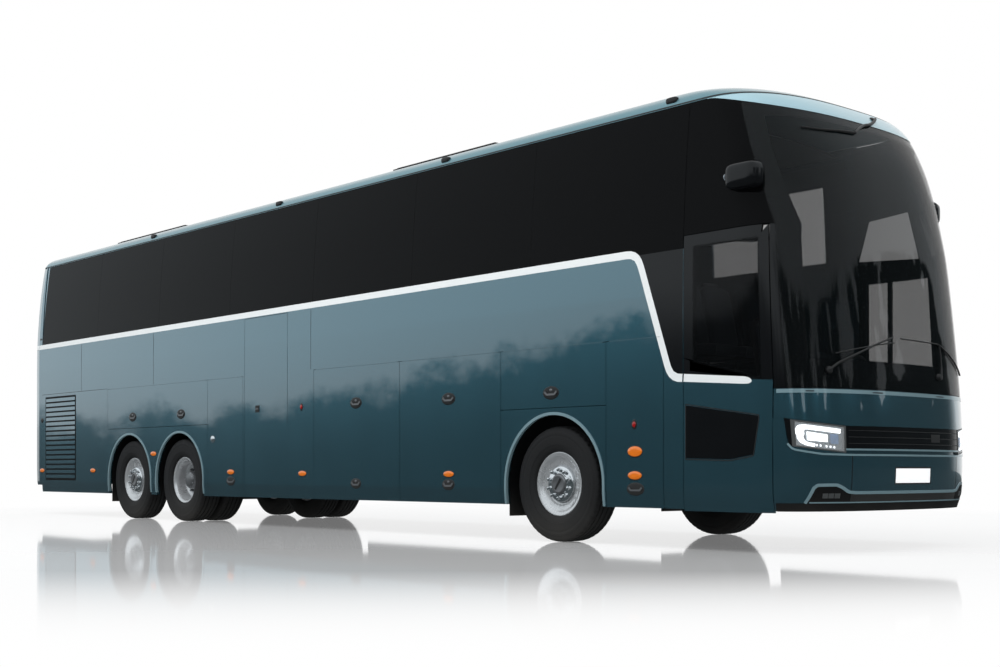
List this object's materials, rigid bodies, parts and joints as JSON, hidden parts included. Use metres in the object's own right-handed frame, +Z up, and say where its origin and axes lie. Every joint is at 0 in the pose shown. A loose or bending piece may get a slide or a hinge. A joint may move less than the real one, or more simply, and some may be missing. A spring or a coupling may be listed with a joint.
{
  "type": "coach bus",
  "caption": "Three-axle high-floor touring coach with steered front wheels, twin drive wheels, gliding entrance door, hinged side door, lift-up luggage doors and rear engine lid.",
  "frame": {"origin": "on the ground under the middle of the body's length and width", "axes": "+X forward, +Y to the vehicle's left, +Z up; the passenger doors are on the right, at -Y"},
  "size_m": [14.1, 2.75, 3.905],
  "materials": {
    "body_paint": "deep blue-green gloss coach enamel under clear coat",
    "roof_paint": "the same gloss enamel on the roof",
    "dark_glass": "near-black bonded glazing",
    "clear_glass": "tinted laminated windscreen glass",
    "lamp": "clear lamp covers over bright reflectors",
    "black_trim": "black moulded trim",
    "chassis": "black painted steel underframe and axles",
    "tyre": "black tyre rubber",
    "chrome": "polished wheel and bright trim",
    "floor": "dark floor covering",
    "seat_cloth": "dark woven seat cloth",
    "dash": "soft-touch dark dashboard"
  },
  "bodies": {
    "root": {"underframe": "chassis", "cabin_floor": "floor", "wheel_liners": "black_trim", "right_wall": "body_paint", "left_wall": "body_paint", "roof_panel": "roof_paint", "roof_hatches": "black_trim", "front_panel": "body_paint", "front_bumper": "body_paint", "lamp_units": "lamp", "windscreen": "clear_glass", "front_pillars": "black_trim", "body_glass": "dark_glass", "rear_panel": "body_paint", "engine_block": "chassis", "axle_beams": "chassis", "dashboard": "dash", "seats": "seat_cloth", "mirrors": "black_trim", "wipers": "black_trim"},
    "steering_right": {"knuckle_right": "chassis"},
    "steering_left": {"knuckle_left": "chassis"},
    "front_wheel_right": {"front_rim_right": "chrome", "front_tyre_right": "tyre"},
    "front_wheel_left": {"front_rim_left": "chrome", "front_tyre_left": "tyre"},
    "drive_wheels_right": {"drive_rims_right": "chrome", "drive_tyres_right": "tyre"},
    "drive_wheels_left": {"drive_rims_left": "chrome", "drive_tyres_left": "tyre"},
    "tag_wheel_right": {"tag_rim_right": "chrome", "tag_tyre_right": "tyre"},
    "tag_wheel_left": {"tag_rim_left": "chrome", "tag_tyre_left": "tyre"},
    "door_arms": {"front_door_arms": "black_trim"},
    "front_door": {"front_door": "body_paint", "front_door_glass": "dark_glass"},
    "mid_door": {"mid_door": "body_paint"},
    "luggage_door_right_1": {"luggage_door_right_1": "body_paint"},
    "luggage_door_right_2": {"luggage_door_right_2": "body_paint"},
    "luggage_door_left_1": {"luggage_door_left_1": "body_paint"},
    "luggage_door_left_2": {"luggage_door_left_2": "body_paint"},
    "flap_front_right": {"flap_front_right": "body_paint"},
    "flap_rear_right": {"flap_rear_right": "body_paint"},
    "flap_front_left": {"flap_front_left": "body_paint"},
    "flap_rear_left": {"flap_rear_left": "body_paint"},
    "service_door_front": {"service_door_front": "body_paint"},
    "service_door_mid": {"service_door_mid": "body_paint"},
    "engine_lid": {"engine_lid": "body_paint"}
  },
  "joints": [
    {"name": "steer_right", "type": "hinge", "parent": "root", "child": "steering_right", "pos_m": [4.2, -0.94, 0.522], "axis": [0, 0, 1], "range_deg": [-38, 38]},
    {"name": "front_roll_right", "type": "hinge", "parent": "steering_right", "child": "front_wheel_right", "pos_m": [4.2, -1.0855, 0.522], "axis": [0, 1, 0], "continuous": true},
    {"name": "drive_roll_right", "type": "hinge", "parent": "root", "child": "drive_wheels_right", "pos_m": [-2.6, -1.0855, 0.522], "axis": [0, 1, 0], "continuous": true},
    {"name": "tag_roll_right", "type": "hinge", "parent": "root", "child": "tag_wheel_right", "pos_m": [-3.95, -1.0855, 0.522], "axis": [0, 1, 0], "continuous": true},
    {"name": "steer_left", "type": "hinge", "parent": "root", "child": "steering_left", "pos_m": [4.2, 0.94, 0.522], "axis": [0, 0, 1], "range_deg": [-38, 38]},
    {"name": "front_roll_left", "type": "hinge", "parent": "steering_left", "child": "front_wheel_left", "pos_m": [4.2, 1.0855, 0.522], "axis": [0, 1, 0], "continuous": true},
    {"name": "drive_roll_left", "type": "hinge", "parent": "root", "child": "drive_wheels_left", "pos_m": [-2.6, 1.0855, 0.522], "axis": [0, 1, 0], "continuous": true},
    {"name": "tag_roll_left", "type": "hinge", "parent": "root", "child": "tag_wheel_left", "pos_m": [-3.95, 1.0855, 0.522], "axis": [0, 1, 0], "continuous": true},
    {"name": "front_door_swing", "type": "hinge", "parent": "root", "child": "door_arms", "pos_m": [6.505, -1.11, 1.5], "axis": [0, 0, 1], "range_deg": [0, 140]},
    {"name": "front_door_follow", "type": "hinge", "parent": "door_arms", "child": "front_door", "pos_m": [6.085, -1.11, 1.5], "axis": [0, 0, 1], "range_deg": [-140, 0]},
    {"name": "mid_door_swing", "type": "hinge", "parent": "root", "child": "mid_door", "pos_m": [-0.1175, -1.275, 1.3], "axis": [0, 0, 1], "range_deg": [0, 90]},
    {"name": "luggage_door_right_1_lift", "type": "hinge", "parent": "root", "child": "luggage_door_right_1", "pos_m": [1.1825, -1.275, 1.75], "axis": [-1, 0, 0], "range_deg": [0, 95]},
    {"name": "luggage_door_right_2_lift", "type": "hinge", "parent": "root", "child": "luggage_door_right_2", "pos_m": [2.7275, -1.275, 1.75], "axis": [-1, 0, 0], "range_deg": [0, 95]},
    {"name": "luggage_door_left_1_lift", "type": "hinge", "parent": "root", "child": "luggage_door_left_1", "pos_m": [1.1825, 1.275, 1.75], "axis": [1, 0, 0], "range_deg": [0, 95]},
    {"name": "luggage_door_left_2_lift", "type": "hinge", "parent": "root", "child": "luggage_door_left_2", "pos_m": [2.7275, 1.275, 1.75], "axis": [1, 0, 0], "range_deg": [0, 95]},
    {"name": "flap_front_right_lift", "type": "hinge", "parent": "root", "child": "flap_front_right", "pos_m": [4.18, -1.275, 1.75], "axis": [-1, 0, 0], "range_deg": [0, 95]},
    {"name": "flap_front_left_lift", "type": "hinge", "parent": "root", "child": "flap_front_left", "pos_m": [4.18, 1.275, 1.75], "axis": [1, 0, 0], "range_deg": [0, 95]},
    {"name": "flap_rear_right_lift", "type": "hinge", "parent": "root", "child": "flap_rear_right", "pos_m": [-3.235, -1.275, 1.75], "axis": [-1, 0, 0], "range_deg": [0, 95]},
    {"name": "flap_rear_left_lift", "type": "hinge", "parent": "root", "child": "flap_rear_left", "pos_m": [-3.235, 1.275, 1.75], "axis": [1, 0, 0], "range_deg": [0, 95]},
    {"name": "service_door_front_lift", "type": "hinge", "parent": "root", "child": "service_door_front", "pos_m": [5.1885, -1.275, 1.75], "axis": [-1, 0, 0], "range_deg": [0, 95]},
    {"name": "service_door_mid_lift", "type": "hinge", "parent": "root", "child": "service_door_mid", "pos_m": [-1.48, -1.275, 1.75], "axis": [-1, 0, 0], "range_deg": [0, 95]},
    {"name": "engine_lid_lift", "type": "hinge", "parent": "root", "child": "engine_lid", "pos_m": [-7.0475, 0, 1.7025], "axis": [0, 1, 0], "range_deg": [0, 90]}
  ],
  "couplings": [
    {"joint": "steer_left", "follows": "steer_right", "ratio": 1},
    {"joint": "front_door_follow", "follows": "front_door_swing", "ratio": -1}
  ]
}
